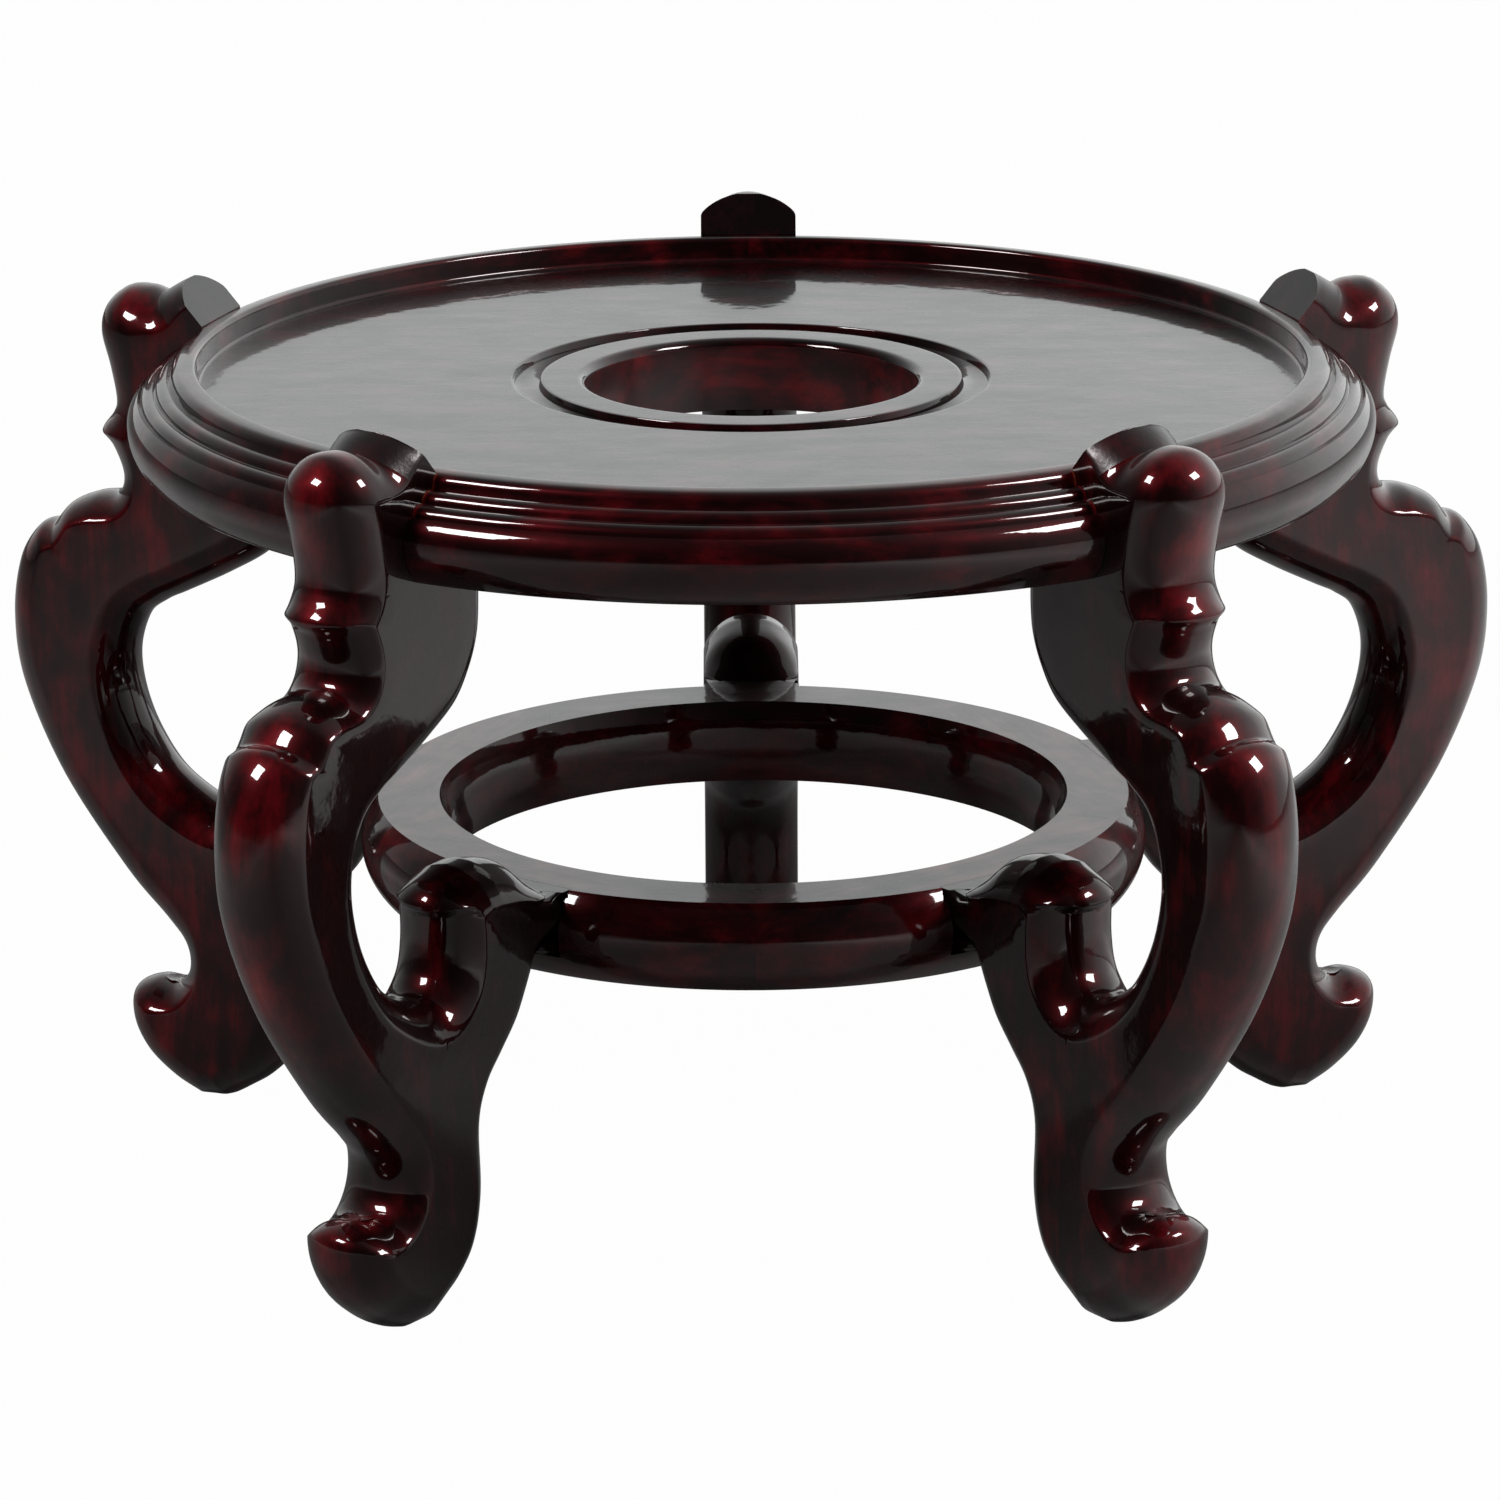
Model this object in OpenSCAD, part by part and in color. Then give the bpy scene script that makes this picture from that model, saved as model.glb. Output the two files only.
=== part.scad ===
// Round hardwood display stand. Five carved legs carry a rimmed seat with a centre hole.
// A lower ring ties the legs together above the feet. Millimetres, Z up, feet on Z = 0.

/* [Seat] */
// Diameter of the seat inside the lip
seat_d = 268; // [260:1:276]
// Height of the seat surface above the ground
seat_h = 197.6; // [194:0.2:201]
// Depth of the seat below the crest of the lip
lip_h = 6; // [5:0.1:8]
// Width of the rim from the lip's inner edge to its widest bead
rim_w = 17; // [16.5:0.1:18.5]
// Height of the rim from underside to crest
rim_h = 24; // [22:0.1:26]
// Width of lip left standing inside each leg
lip_w = 4.4; // [4:0.1:5]

/* [Centre hole] */
// Diameter of the hole through the seat
hole_d = 80; // [60:1:90]
// Radius of the softened edge of the hole
hole_edge = 2.4; // [1:0.1:4]
// Outer diameter of the turned groove around the hole
groove_d = 116; // [108:1:140]
// Width of the turned groove
groove_w = 7; // [5:0.5:8]
// Depth of the turned groove
groove_depth = 2.4; // [1:0.1:4]

/* [Legs] */
// Thickness of the board that the legs are sawn from
leg_t = 25; // [22:0.5:28]
// Reach of the leg's shoulder, its farthest point, beyond the rim
shoulder_out = 45.6; // [41:0.2:51]
// Height of the shoulder
shoulder_z = 124; // [121:0.5:127]
// Reach of the tip of the toe beyond the rim
toe_out = 16; // [12:0.1:20]
// Rise of the prong's apex above the crest of the lip
prong_h = 9.3; // [8.5:0.1:11]
// Depth planed off the sole to make it stand flat
sole_cut = 1.2; // [0.8:0.1:1.6]

/* [Lower ring] */
// Distance that the outside of the lower ring stands in from the edge of the seat
ring_inset = 37; // [35:0.5:39]
// Height of the top of the lower ring
ring_z = 93.1; // [90:0.1:96]
// Height of the section of the lower ring
ring_h = 21.4; // [19:0.1:24]
// Width of the section of the lower ring
ring_w = 21; // [18:0.5:24]
// Depth that each spur is let into the ring
tongue = 6; // [5:0.1:7.5]

/* [Joinery] */
// Diameter of the dowels
dowel_d = 6; // [4:0.5:7]
// Length of each dowel on each side of its joint
dowel_reach = 9; // [7:0.5:10]
// Glue gap between joined faces
joint_gap = 0.1; // [0.05:0.05:0.2]
// Width of the shelf in the rim that the seat rests on
shelf_w = 4.8; // [3:0.1:6]
// Height of the shelf above the underside of the rim
shelf_h = 9; // [7:0.5:11]
// Half length of the loose splines in the rim and ring joints
spline_l = 11; // [8:0.5:14]

/* [Hidden] */
$fn = 96;
leg_names = ["back", "left", "front_left", "front_right", "right"];
leg_turn = [90, 162, 234, 306, 378];
span_names = ["back_left", "left", "front", "right", "back_right"];
seat_r = seat_d / 2;
rim_r = seat_r + rim_w;
rim_top = seat_h + lip_h;
rim_bot = rim_top - rim_h;
house_r = seat_r + lip_w;
// radius that the upper part of the leg is set out from
post_r = rim_r + 1;
shoulder_r = rim_r + shoulder_out;
toe_r = rim_r + toe_out;
shelf_z = rim_bot + shelf_h;
shelf_r = seat_r - shelf_w;
ring_r = seat_r - ring_inset;
ring_bot = ring_z - ring_h;
tongue_r = ring_r - tongue;
tongue_z = ring_z - 15.7;
half_t = leg_t / 2;
dowel_r = dowel_d / 2;
seat_dowel_x = shelf_r - dowel_r - 3.4;
ring_dowel_z = (ring_z + tongue_z) / 2;
edge_land = 0.4;
shoulder_round = 9;
// radius of the nosing on the shoulder, which sets how far the front pair reaches
nosing = (half_t * half_t + shoulder_round * shoulder_round) / (2 * shoulder_round);
front_reach = (shoulder_r - nosing) * sin(54) + nosing;
// the ring's axis stands behind or before the middle of the five-legged footprint
axis_y = (front_reach - shoulder_r) / 2;
wood = [0.23, 0.07, 0.06];
pale = [0.55, 0.36, 0.22];

// points of the circular arc from p to q that bulges by s to the left of the way
function bow(p, q, s, n = 8) =
    let (c = q - p,
        len = norm(c),
        r = (len * len / 4 + s * s) / (2 * s),
        m = (p + q) / 2 + [-c[1], c[0]] / len * (s - r),
        turn = 2 * asin(min(1, len / 2 / r)),
        a = atan2(p[1] - m[1], p[0] - m[0]))
    [for (i = [0 : n]) m + abs(r) * [cos(a - turn * i / n), sin(a - turn * i / n)]];

// smooth curve through the points p, with n steps from each point to the next
function curve(p, n = 2) =
    let (k = len(p) - 1,
        q = concat([2 * p[0] - p[1]], p, [2 * p[k] - p[k - 1]]))
    concat(
        [for (i = [0 : k - 1], j = [0 : n - 1])
            let (u = j / n, a = q[i], b = q[i + 1], c = q[i + 2], d = q[i + 3])
            b + u / 2 * (c - a) + u * u / 2 * (2 * a - 5 * b + 4 * c - d)
            + u * u * u / 2 * (3 * b - a - 3 * c + d)],
        [p[k]]);

// straight run through the points p, with n steps from each point to the next
function run(p, n = 2) =
    let (k = len(p) - 1)
    concat([for (i = [0 : k - 1], j = [0 : n - 1]) p[i] + (p[i + 1] - p[i]) * j / n], [p[k]]);

function part_of(p, a, b, step = 1) = [for (i = [a : step : b]) p[i]];

// Points of the leg's outline: radius, height, and how far the nosing reaches in from the edge.
// They are placed from the crest of the rim, its underside, the shoulder, the toe and the ring.
function crest(x, z, n = 9) = [post_r + x, rim_top + z, n];
function under(x, z, n = 9) = [post_r + x, rim_bot + z, n];
function shoulder(x, z, n = 9) = [shoulder_r + x, shoulder_z + z, n];
function toe(x, z, n = 9) = [toe_r + x, z, n];
function ring(x, z, n = 9) = [ring_r + x, ring_z + z, n];

// ridge of the prong, from its apex down to the valley before the knob
ridge_edge = curve([
    [house_r + 8.3, rim_top + prong_h, 11], crest(-2.7, prong_h - 1.1, 11), crest(1.2, 4.2, 11)]);

// knob, neck and the bead below it
knob_edge = curve([
    crest(1.2, 4.2, 11), crest(5, 6.8, 11), crest(10.8, 6.5, 11), crest(16, 2, 11),
    crest(17.6, -4.5, 10), crest(15.5, -13.4, 8), under(14.1, 2.4, 6.5), under(15.1, -1.3, 6),
    under(18.2, -6, 5.5)]);

// hollow under the bead and the lobe, down to the notch
lobe_edge = curve([
    under(18.2, -6, 5.5), under(15, -10.3, 5.5), under(12.6, -17, 6), under(14.4, -21.9, 5.5),
    under(21, -23.2, 5), under(27.6, -26, 4.5), shoulder(-12.4, 24.8, 5)]);

// shoulder, the long sweep to the ankle, and the toe round to the sole
sweep_edge = curve([
    shoulder(-12.4, 24.8, 5), shoulder(-7.6, 23.2, 6), shoulder(-2.4, 15, 8), shoulder(0, 0),
    shoulder(-2.2, -18), shoulder(-12.5, -42), toe(0.3, 58), toe(-10.5, 46, 8.5),
    toe(-15.5, 39.5, 6.5), toe(-16.1, 33, 5), toe(-12.4, 28.5, 5), toe(-6, 28.8, 6.5),
    toe(-0.4, 25.8, 7), toe(-0.2, 17.8, 8), toe(-4.2, 9.6), toe(-11.5, 3),
    toe(-19, -sole_cut)]);

// faces that bear on the rim: slanted prong face, upright face and ledge
rim_faces = concat(
    [for (f = [0.05, 0.3, 0.65, 1])
        [house_r + 8 * (1 - f), rim_top + prong_h * (1 - f), 4]],
    run([[house_r, rim_top - 0.4 * rim_h, 4], [house_r, rim_bot, 4]], 14),
    [under(-25, 0, 4)]);

// edge of the open hollow: down from the ledge, round the bend and up the spur to its groove
hollow_edge = curve([
    under(-35.8, 0, 8.5), under(-35.7, -11.7, 8.5), under(-34.5, -19.7, 8.5),
    under(-31, -27.5, 8.5), under(-25, -35.1, 8.5), under(-15, -41.2, 8.5),
    shoulder(-47.6, 8.6, 8.5), shoulder(-41.6, 5.7, 8.5), shoulder(-35.8, 1, 8.5),
    shoulder(-32.5, -9, 8.5), shoulder(-33.6, -20, 8.5), shoulder(-37.9, -30.8, 8.5),
    ring(54.3, -9.3, 8.5), ring(42.5, -16.1, 8.5), ring(36.4, -12.9, 8.5), ring(34.3, -6.6, 8),
    ring(33.8, 1.7, 7)]);

// dome on the spur, its outer and its inner half and the flat between them
dome_edge = curve([ring(33.8, 1.7, 7), ring(36.2, 4.5), ring(33, 8.5), ring(24.5, 11.7)]);
dome_back = curve([ring(-1, 0), ring(4, 4.4), ring(10, 9.5), ring(19, 11.9)]);
dome_top = [ring(24.5, 11.7), ring(19, 11.9)];

// tongue that is let into the ring
tongue_faces = [[tongue_r, tongue_z, 4], [tongue_r, ring_z, 4]];

// inner edge from the ring down to the sole
shin_edge = curve([
    ring(1, -15.7, 8.5), ring(4.8, -23.3, 8.5), ring(9, -30.3, 8.5), ring(15.2, -37.1, 8.5),
    toe(-50, 50.6, 8.5), toe(-47.5, 43.5, 8.5), toe(-47.8, 31, 8.5), toe(-47.3, 24, 8.5),
    toe(-45.6, 16.8, 8.5), toe(-42.4, 10.6, 8.5), toe(-37, 5.2, 8.5), toe(-31.5, 1.7, 8.5),
    toe(-26.5, -sole_cut, 8.5)]);
sole_edge = [toe(-19, -sole_cut), toe(-26.5, -sole_cut, 8.5)];

// middle of the shank, from the bend in the hollow to the sole
core = concat(
    [ring(42.5, -16.1, 8.5), ring(42.4, -17.2), ring(42.1, -19.9), ring(41.5, -24.7),
        ring(40.3, -34), toe(-30.5, 45)],
    run([toe(-31, 31), toe(-31, 25), toe(-30, 19.5), toe(-28.5, 14), toe(-27, 8.5),
        toe(-25, 3.5), toe(-22.8, -sole_cut)]));

// edges that carry a nosing, as short straight pieces
nosed = [for (e = [ridge_edge, knob_edge, lobe_edge, sweep_edge, sole_edge, hollow_edge,
        dome_edge, dome_top, dome_back, shin_edge])
    for (i = [0 : len(e) - 2]) [e[i], e[i + 1]]];

// half thickness left by the nosing at a distance d from an edge, for a nosing n deep
function left_by(d, n) =
    d >= n ? half_t :
    let (r = (half_t * half_t + n * n) / (2 * n)) sqrt(max(0, d * (2 * r - d)));

// half thickness of the leg at the point p
function half_at(p) =
    max(edge_land, min([for (s = nosed)
        let (a = s[0],
            b = s[1],
            v = [b[0] - a[0], b[1] - a[1]],
            w = [p[0] - a[0], p[1] - a[1]],
            k = max(0, min(1, w * v / (v * v))),
            d = norm(w - k * v))
        left_by(d, a[2] + (b[2] - a[2]) * k)]));

// distance in from edge point a, in the direction u, at which the nosing has run out
function run_out(a, u) =
    let (hit = [for (m = [1, 1.15, 1.3, 1.5, 1.75, 2.05, 2.4, 2.8])
        if (half_at([a[0], a[1]] + u * m * a[2]) > half_t - 0.02) m])
    a[2] * (len(hit) > 0 ? hit[0] : 2.8);

// points across the leg from edge point a to edge point b, close together on the nosings
across = [0, 0.13, 0.45, 1];
cols = 8;
function rib(a, b) =
    let (v = [b[0] - a[0], b[1] - a[1]],
        len = norm(v),
        u = v / len,
        p = run_out(a, u),
        q = run_out(b, -u),
        k = min(1, 0.96 * len / (p + q)))
    concat(
        [for (f = across) [a[0], a[1]] + u * f * p * k],
        [for (i = [3 : -1 : 0]) [b[0], b[1]] - u * across[i] * q * k]);

// both faces of the rib, as pairs of points on the two sides of the board
function rib_points(ribs) =
    [for (r = ribs, p = r) let (h = half_at(p), z = max(0, p[1])) each [[p[0], h, z], [p[0], -h, z]]];

// triangles of a strip of n + 1 ribs whose points start at index s; w says which borders are outer
function strip_faces(s, n, w) =
    let (t = function (i, j) s + 2 * (i * cols + j), m = cols - 1)
    concat(
        [for (i = [0 : n - 1], j = [0 : m - 1])
            let (a = t(i, j), b = t(i, j + 1), c = t(i + 1, j + 1), d = t(i + 1, j))
            each [[a, b, c], [a, c, d], [c + 1, b + 1, a + 1], [d + 1, c + 1, a + 1]]],
        [if (w[0]) for (i = [0 : n - 1]) let (a = t(i, 0), d = t(i + 1, 0))
            each [[a, d, d + 1], [a, d + 1, a + 1]]],
        [if (w[1]) for (i = [0 : n - 1]) let (b = t(i, m), c = t(i + 1, m))
            each [[c, b, b + 1], [c, b + 1, c + 1]]],
        [if (w[2]) for (j = [0 : m - 1]) let (a = t(0, j), b = t(0, j + 1))
            each [[b, a, a + 1], [b, a + 1, b + 1]]],
        [if (w[3]) for (j = [0 : m - 1]) let (d = t(n, j), c = t(n, j + 1))
            each [[d, c, c + 1], [d, c + 1, d + 1]]]);

// carved leg on the +X side, as four strips of ribs that share their borders
module leg_body() {
    bend = 26;
    outer = concat(ridge_edge, part_of(knob_edge, 1, 16), part_of(lobe_edge, 1, 12),
        part_of(sweep_edge, 1, 14));
    inner = concat(rim_faces, part_of(hollow_edge, 0, bend));
    limb = [for (i = [0 : len(outer) - 1]) rib(outer[i], inner[i])];
    spur_out = concat(part_of(hollow_edge, bend, 32), part_of(dome_edge, 1, 6));
    spur_in = concat(part_of(shin_edge, 6, 0, -2), tongue_faces, dome_back);
    spur = [for (i = [0 : len(spur_out) - 1]) rib(spur_in[i], spur_out[i])];
    front = part_of(sweep_edge, 14, 32);
    back = part_of(shin_edge, 6, 24);
    foot_front = [for (i = [0 : len(front) - 1]) rib(front[i], core[i])];
    foot_back = [for (i = [0 : len(back) - 1]) rib(core[i], back[i])];
    strips = [limb, spur, foot_front, foot_back];
    walls = [[true, true, true, false], [true, true, false, true],
        [true, false, false, true], [false, true, false, true]];
    start = [0, len(limb), len(limb) + len(spur), len(limb) + len(spur) + len(foot_front)];
    polyhedron(
        points = [for (s = strips) each rib_points(s)],
        faces = [for (i = [0 : 3])
            each strip_faces(2 * cols * start[i], len(strips[i]) - 1, walls[i])]);
}

module leg(i) {
    color(wood) translate([0, axis_y, 0]) rotate([0, 0, leg_turn[i]]) difference() {
        leg_body();
        translate([seat_dowel_x, 0, rim_bot - dowel_reach - 0.5])
            cylinder(r = dowel_r + joint_gap, h = dowel_reach + 2);
        translate([tongue_r - 1, 0, ring_dowel_z]) rotate([0, 90, 0])
            cylinder(r = dowel_r + joint_gap, h = dowel_reach + 1.5);
    }
}

// section of the rim: shelf, lip with a rounded crest, cove, ledge, bead, quirk and belly
function rim_section() =
    let (c = rim_top, o = rim_r, l = seat_r)
    concat(
        [[shelf_r, rim_bot], [shelf_r, shelf_z], [l, shelf_z]],
        bow([l, c - 1.2], [l + 1.2, c], 0.35, 5),
        part_of(bow([l + 1.2, c], [l + 5.2, c - 0.4], 0.12, 3), 1, 3),
        part_of(bow([l + 5.2, c - 0.4], [l + 6, c - 1.4], 0.24, 4), 1, 4),
        bow([l + 6.1, c - 2.4], [l + 7.4, c - 3.5], -0.33, 5),
        bow([o - 4.8, c - 3.9], [o - 1.6, c - 6.2], 0.77, 7),
        [[o - 1.7, c - 6.7], [o - 2.2, c - 7.1]],
        bow([o - 1.7, c - 7.4], [o - 3.8, rim_bot + 0.6], 2.75, 12),
        [[o - 4.6, rim_bot]]);

// socket for half of a loose spline, on the +X axis
module rim_spline_block(g) {
    translate([shelf_r + 2.5 - g, -spline_l - g, rim_bot + 2.5 - g])
        cube([5 + 2 * g, 2 * spline_l + 2 * g, shelf_h - 4 + 2 * g]);
}

module ring_spline_block(g) {
    translate([ring_r - ring_w / 2 - 4 - g, -spline_l - g, ring_z - ring_h / 2 - 4 - g])
        cube([7 + 2 * g, 2 * spline_l + 2 * g, 8 + 2 * g]);
}

module rim_segment(i) {
    gap = joint_gap / 2 / seat_r * 180 / PI;
    color(wood) translate([0, axis_y, 0]) rotate([0, 0, leg_turn[i]]) difference() {
        rotate([0, 0, gap]) rotate_extrude(angle = 72 - 2 * gap) polygon(rim_section());
        for (a = [0, 72]) rotate([0, 0, a]) {
            translate([house_r - joint_gap, -half_t - joint_gap, rim_bot - 1])
                cube([rim_w, leg_t + 2 * joint_gap, rim_h + 2]);
            rim_spline_block(joint_gap);
        }
    }
}

module rim_spline(i) {
    color(pale) translate([0, axis_y, 0]) rotate([0, 0, leg_turn[i]]) rim_spline_block(0);
}

module seat_panel() {
    hole_r = hole_d / 2;
    out = groove_d / 2;
    r = seat_r - joint_gap;
    color(wood) translate([0, axis_y, 0]) difference() {
        rotate_extrude() polygon(concat(
            [[hole_r, rim_bot]],
            bow([hole_r, seat_h - hole_edge], [hole_r + hole_edge, seat_h],
                hole_edge * (1 - sqrt(0.5))),
            [[out - groove_w, seat_h], [out - groove_w + 0.5, seat_h - groove_depth]],
            bow([out - groove_w + 1.6, seat_h - groove_depth], [out, seat_h], -0.6),
            [[r, seat_h], [r, shelf_z], [shelf_r - joint_gap, shelf_z],
                [shelf_r - joint_gap, rim_bot]]));
        for (a = leg_turn) rotate([0, 0, a]) translate([seat_dowel_x, 0, rim_bot - 1])
            cylinder(r = dowel_r + joint_gap, h = dowel_reach + 1.5);
    }
}

module ring_segment(i) {
    gap = joint_gap / 2 / ring_r * 180 / PI;
    o = ring_r - 4.4;
    n = ring_r - ring_w + 1.5;
    color(wood) translate([0, axis_y, 0]) rotate([0, 0, leg_turn[i]]) difference() {
        rotate([0, 0, gap - 36]) rotate_extrude(angle = 72 - 2 * gap) polygon(concat(
            bow([n, ring_bot], [n, ring_z], 1.5, 6),
            bow([o, ring_z], [o, ring_bot], 4.4, 12)));
        translate([tongue_r - joint_gap, -half_t - joint_gap, tongue_z - joint_gap])
            cube([tongue + 3, leg_t + 2 * joint_gap, ring_h]);
        translate([tongue_r + 1, 0, ring_dowel_z]) rotate([0, -90, 0])
            cylinder(r = dowel_r + joint_gap, h = dowel_reach + 1.5);
        for (a = [-36, 36]) rotate([0, 0, a]) ring_spline_block(joint_gap);
    }
}

module ring_spline(i) {
    color(pale) translate([0, axis_y, 0]) rotate([0, 0, leg_turn[i] + 36]) ring_spline_block(0);
}

module seat_dowel(i) {
    color(pale) translate([0, axis_y, 0]) rotate([0, 0, leg_turn[i]])
        translate([seat_dowel_x, 0, rim_bot - dowel_reach])
            cylinder(r = dowel_r, h = 2 * dowel_reach);
}

module ring_dowel(i) {
    color(pale) translate([0, axis_y, 0]) rotate([0, 0, leg_turn[i]])
        translate([tongue_r - dowel_reach, 0, ring_dowel_z]) rotate([0, 90, 0])
            cylinder(r = dowel_r, h = 2 * dowel_reach);
}

for (i = [0 : 4]) {
    leg(i);
    rim_segment(i);
    rim_spline(i);
    ring_segment(i);
    ring_spline(i);
    seat_dowel(i);
    ring_dowel(i);
}
seat_panel();
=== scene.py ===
"""Lacquered hardwood display stand: five carved legs, a moulded rim, a seat board and a lower ring.

The carved and turned pieces are built again here with fine meshes from the same outlines as the
solids. The dowels and splines stay the solids of the frame. Sizes are in millimetres, in the
frame's axes, and become metres when a mesh is made.
"""
import math

import bmesh
import bpy
import numpy as np
from mathutils import Matrix, Vector


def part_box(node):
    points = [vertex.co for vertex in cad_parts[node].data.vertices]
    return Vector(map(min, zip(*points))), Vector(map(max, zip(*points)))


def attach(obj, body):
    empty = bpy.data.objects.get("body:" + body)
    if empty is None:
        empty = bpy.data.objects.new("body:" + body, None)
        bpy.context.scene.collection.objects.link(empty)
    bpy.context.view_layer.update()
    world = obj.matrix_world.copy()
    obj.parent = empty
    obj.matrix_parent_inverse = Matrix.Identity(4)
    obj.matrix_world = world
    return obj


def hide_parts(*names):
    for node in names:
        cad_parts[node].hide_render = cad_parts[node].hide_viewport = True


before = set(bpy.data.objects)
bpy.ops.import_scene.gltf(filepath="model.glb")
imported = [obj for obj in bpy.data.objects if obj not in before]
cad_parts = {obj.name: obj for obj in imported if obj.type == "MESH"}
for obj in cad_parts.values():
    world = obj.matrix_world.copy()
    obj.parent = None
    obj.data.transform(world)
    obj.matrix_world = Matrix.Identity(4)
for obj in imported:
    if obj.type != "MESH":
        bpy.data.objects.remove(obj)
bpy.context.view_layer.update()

MM = 0.001

# Seat, rim and ring
SEAT_R = 134.0
SEAT_Z = 197.6
RIM_R = 151.0
RIM_TOP = 203.6
RIM_BOT = 179.6
HOUSE_R = 138.4
SHELF_Z = 188.6
SHELF_R = 129.2
HOLE_R = 40.0
HOLE_ROUND = 2.4
GROOVE_R = 58.0
GROOVE_W = 7.0
GROOVE_DEPTH = 2.4
RING_R = 97.0
RING_Z = 93.1
RING_H = 21.4
RING_W = 21.0
RING_OUTER_BULGE = 4.4
RING_INNER_BULGE = 1.5
GAP = 0.1
# Open joint between two lengths of the rim or the ring, and how far a cutter reaches past a piece
JOINT_GAP = 0.01
CUT_PAST = 9.0

# Legs
HALF_T = 12.5
POST_R = 152.0
SHOULDER_R = 196.3
SHOULDER_Z = 124.0
TOE_R = 167.0
PRONG_H = 9.3
PRONG_LEAN = 8.0
SOLE_CUT = 1.2
TONGUE_R = 91.0
TONGUE_Z = 77.4
LEGS = ("back", "left", "front_left", "front_right", "right")
SPANS = ("back_left", "left", "front", "right", "back_right")
LEG_STEP = 72
LEG_TURN = tuple(math.radians(90 + LEG_STEP * i) for i in range(5))

# Fineness of the meshes: steps round the axis, and steps between two points of the leg's outline
RIM_STEPS = 144
SEAT_STEPS = 288
RING_STEPS = 96
STEPS = 10
# Edges sharper than this many degrees are not smoothed over
SHARP_ANGLE = 32

# The axis of the rim stands in the middle of the seat panel
panel_low, panel_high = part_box("seat_panel")
AXIS = (panel_low + panel_high) / 2
AXIS.z = 0.0


# Outline of the leg: radius, height, and how far the nosing reaches in from the edge

NOSING = 9.0
INNER = 8.5


def measured_from(radius, height):
    """Function that gives points of the outline by their distance from a landmark."""
    def point(x, z, nosing=NOSING):
        return (radius + x, height + z, nosing)
    return point


crest = measured_from(POST_R, RIM_TOP)
under = measured_from(POST_R, RIM_BOT)
shoulder = measured_from(SHOULDER_R, SHOULDER_Z)
toe = measured_from(TOE_R, 0.0)
ring = measured_from(RING_R, RING_Z)


def curve(points):
    """Smooth curve through the points, with STEPS steps from each point to the next."""
    p = np.array(points, float)
    q = np.vstack([2 * p[0] - p[1], p, 2 * p[-1] - p[-2]])
    u = (np.arange(STEPS) / STEPS)[:, None]
    rows = []
    for a, b, c, d in zip(q, q[1:], q[2:], q[3:]):
        rows.append(b + u / 2 * (c - a) + u**2 / 2 * (2 * a - 5 * b + 4 * c - d)
                    + u**3 / 2 * (3 * b - a - 3 * c + d))
    return np.vstack(rows + [p[-1:]])


def straight(points, rows):
    """Points spread along the straight run through the given points, rows to a stretch."""
    p = np.array(points, float)
    t = np.concatenate([i + np.arange(k) / k for i, k in enumerate(rows)] + [[len(rows)]])
    return np.stack([np.interp(t, np.arange(len(p)), p[:, k]) for k in range(p.shape[1])], 1)


ridge_edge = curve([(HOUSE_R + PRONG_LEAN + 0.3, RIM_TOP + PRONG_H, 6),
                    crest(-2.9, PRONG_H - 1.3, 6.5), crest(1, 5.6, 8)])
neck_edge = curve([
    crest(1, 5.6, 8), crest(5, 6.9, 10), crest(10.8, 6.5, 11), crest(16, 2, 11),
    crest(17.6, -4.5, 11), crest(15.5, -13.4, 10), under(14.1, 2.4, 9.5), under(15.1, -1.3, 8.5),
    under(18.2, -6, 7), under(15, -10.3, 7), under(12.6, -17, 6.5), under(14.4, -21.9, 5.5),
    under(21, -23.2, 5), under(27.6, -26, 4.5), shoulder(-12.4, 24.8, 5)])
sweep_edge = curve([
    shoulder(-12.4, 24.8, 5), shoulder(-7.6, 23.2, 6), shoulder(-2.4, 15, 8), shoulder(0, 0),
    shoulder(-2.2, -18), shoulder(-12.5, -42), toe(0.3, 58), toe(-10.5, 46, 8.5),
    toe(-15.5, 39.5, 6.5), toe(-16.1, 33, 5), toe(-12.4, 28.5, 5), toe(-6, 28.8, 6.5),
    toe(-0.4, 25.8, 7), toe(-0.2, 17.8, 8), toe(-4.2, 9.6), toe(-11.5, 3),
    toe(-19, -SOLE_CUT)])
hollow_edge = curve([
    under(-35.8, 0, INNER), under(-35.7, -11.7, INNER), under(-34.5, -19.7, INNER),
    under(-31, -27.5, INNER), under(-25, -35.1, INNER), under(-15, -41.2, INNER),
    shoulder(-47.6, 8.6, INNER), shoulder(-41.6, 5.7, INNER), shoulder(-35.8, 1, INNER),
    shoulder(-32.5, -9, INNER), shoulder(-33.6, -20, INNER), shoulder(-37.9, -30.8, INNER),
    ring(54.3, -9.3, INNER), ring(42.5, -16.1, INNER), ring(36.4, -12.9, INNER),
    ring(34.3, -6.6, 8), ring(33.8, 1.7, 7)])
dome_edge = curve([ring(33.8, 1.7, 7), ring(36.2, 4.5), ring(33, 8.5), ring(24.5, 11.7)])
dome_back = curve([ring(-1, 0, 1.2), ring(4, 4.4, 4), ring(10, 9.5, 7.5), ring(19, 11.9)])
dome_top = np.array([ring(24.5, 11.7), ring(19, 11.9)])
shin_edge = curve([
    ring(1, -15.7, INNER), ring(4.8, -23.3, INNER), ring(9, -30.3, INNER),
    ring(15.2, -37.1, INNER), toe(-50, 50.6, INNER), toe(-47.5, 43.5, INNER),
    toe(-47.8, 31, INNER), toe(-47.3, 24, INNER), toe(-45.6, 16.8, INNER),
    toe(-42.4, 10.6, INNER), toe(-37, 5.2, INNER), toe(-31.5, 1.7, INNER),
    toe(-26.5, -SOLE_CUT, INNER)])
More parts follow.
